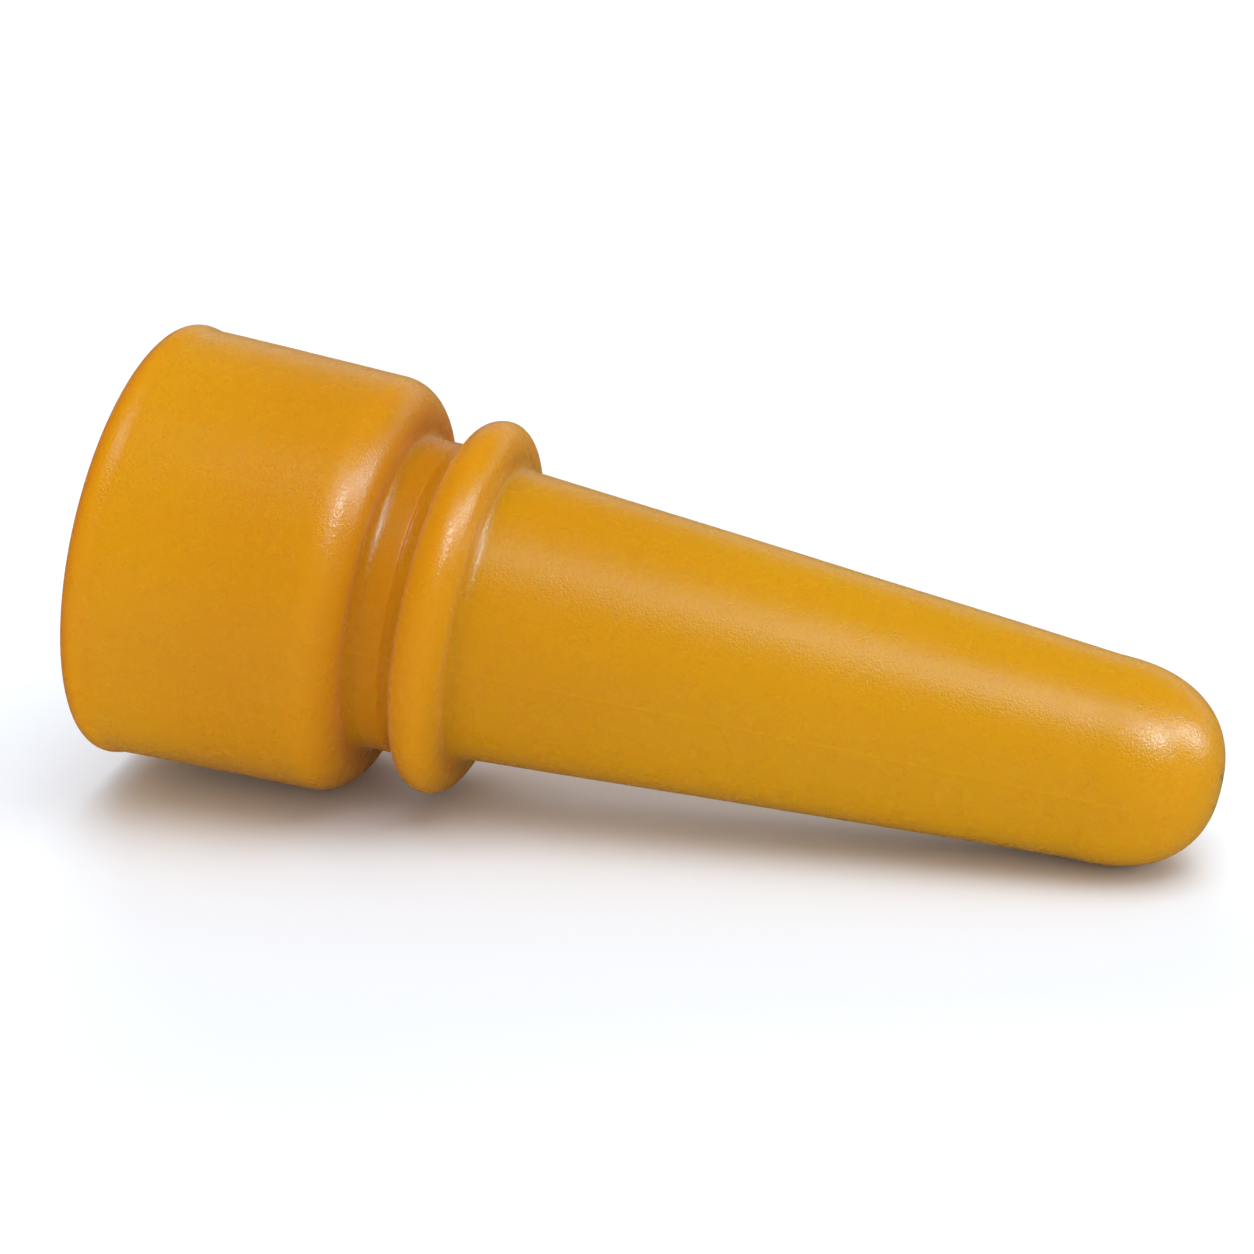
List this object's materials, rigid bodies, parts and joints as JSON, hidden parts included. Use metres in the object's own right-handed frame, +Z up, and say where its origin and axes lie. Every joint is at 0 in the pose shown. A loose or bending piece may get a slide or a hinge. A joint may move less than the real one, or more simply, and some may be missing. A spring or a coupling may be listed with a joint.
{
  "type": "calf feeding teat",
  "caption": "Amber rubber feeding teat: wide pull-over collar, neck groove behind a bead, tapered hollow nipple and a domed tip with a fine cross cut.",
  "frame": {"origin": "on the floor under the middle of the teat's box, as it lies at rest on its shoulder and its tip", "axes": "+X from the mouth towards the tip along the floor, +Z up; the teat's own axis lies in the XZ plane, tipped 8.2 degrees down towards the tip"},
  "size_m": [0.112, 0.0444, 0.0459],
  "materials": {
    "amber_rubber": "translucent satin amber natural rubber"
  },
  "bodies": {
    "root": {"teat": "amber_rubber"}
  },
  "joints": []
}
